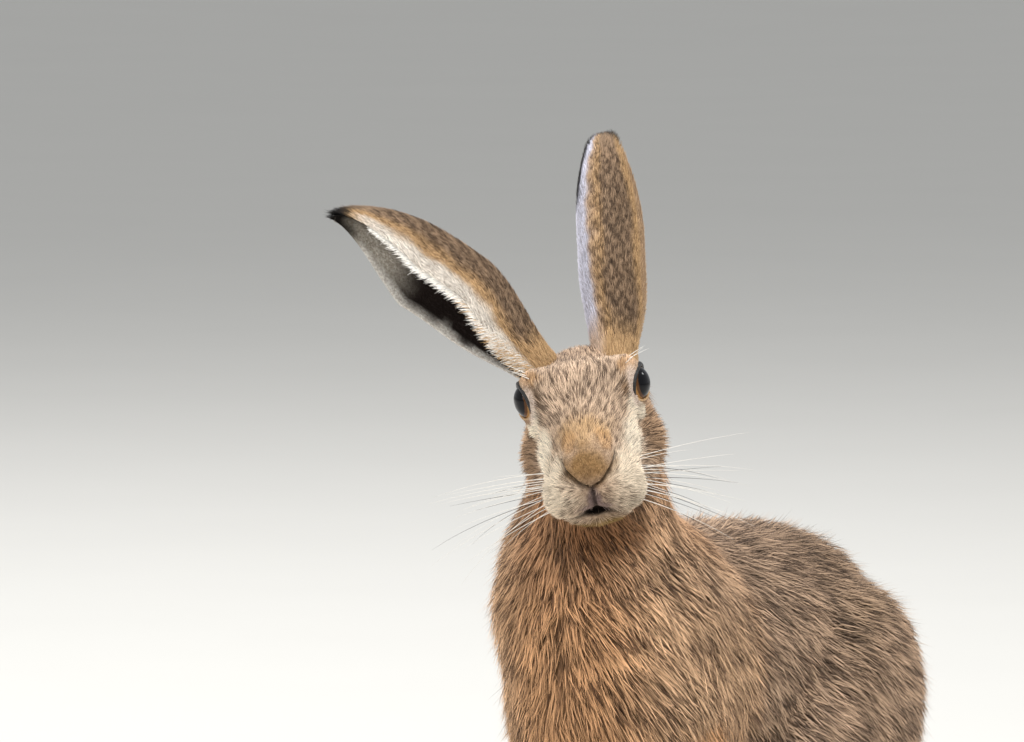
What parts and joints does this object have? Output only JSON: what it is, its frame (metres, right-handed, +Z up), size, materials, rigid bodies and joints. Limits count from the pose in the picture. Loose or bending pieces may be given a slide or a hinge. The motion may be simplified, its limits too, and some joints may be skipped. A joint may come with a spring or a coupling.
{
  "type": "brown hare",
  "caption": "Life-size still model of a brown hare sitting alert with its head turned to one side and one ear lowered.",
  "frame": {"origin": "on the floor under the middle of the whole animal's box", "axes": "+Z up; the body faces -Y and the head is turned from there towards +X, the hare's left side"},
  "size_m": [0.1802, 0.3994, 0.3754],
  "materials": {
    "face_fur": "dense short hair lying back, matt with a faint sheen, pale sandy and ticked with dark brown",
    "chest_fur": "dense short hair lying back, matt with a faint sheen, rufous fawn",
    "back_fur": "dense short hair lying back, matt with a faint sheen, fawn with black and pale tips",
    "ear_fur": "very short hair over thin skin, grizzled brown with a black tip",
    "foot_fur": "dense short hair lying back, matt with a faint sheen, tawny",
    "tail_fur": "long soft hair, black above and white below",
    "eye": "wet gloss over a dark brown iris",
    "claw": "dark horn, slightly polished"
  },
  "bodies": {
    "root": {"barrel": "back_fur", "chest": "chest_fur", "claw_fore_left_1": "claw", "claw_fore_left_2": "claw", "claw_fore_left_3": "claw", "claw_fore_left_4": "claw", "claw_fore_right_1": "claw", "claw_fore_right_2": "claw", "claw_fore_right_3": "claw", "claw_fore_right_4": "claw", "claw_hind_left_1": "claw", "claw_hind_left_2": "claw", "claw_hind_left_3": "claw", "claw_hind_left_4": "claw", "claw_hind_right_1": "claw", "claw_hind_right_2": "claw", "claw_hind_right_3": "claw", "claw_hind_right_4": "claw", "ear_left": "ear_fur", "ear_right": "ear_fur", "eye_left": "eye", "eye_right": "eye", "foreleg_left": "chest_fur", "foreleg_right": "chest_fur", "forepaw_left": "foot_fur", "forepaw_right": "foot_fur", "head": "face_fur", "hind_foot_left": "foot_fur", "hind_foot_right": "foot_fur", "neck": "chest_fur", "rump": "back_fur", "shank_left": "back_fur", "shank_right": "back_fur", "tail": "tail_fur", "thigh_left": "back_fur", "thigh_right": "back_fur"}
  },
  "joints": []
}
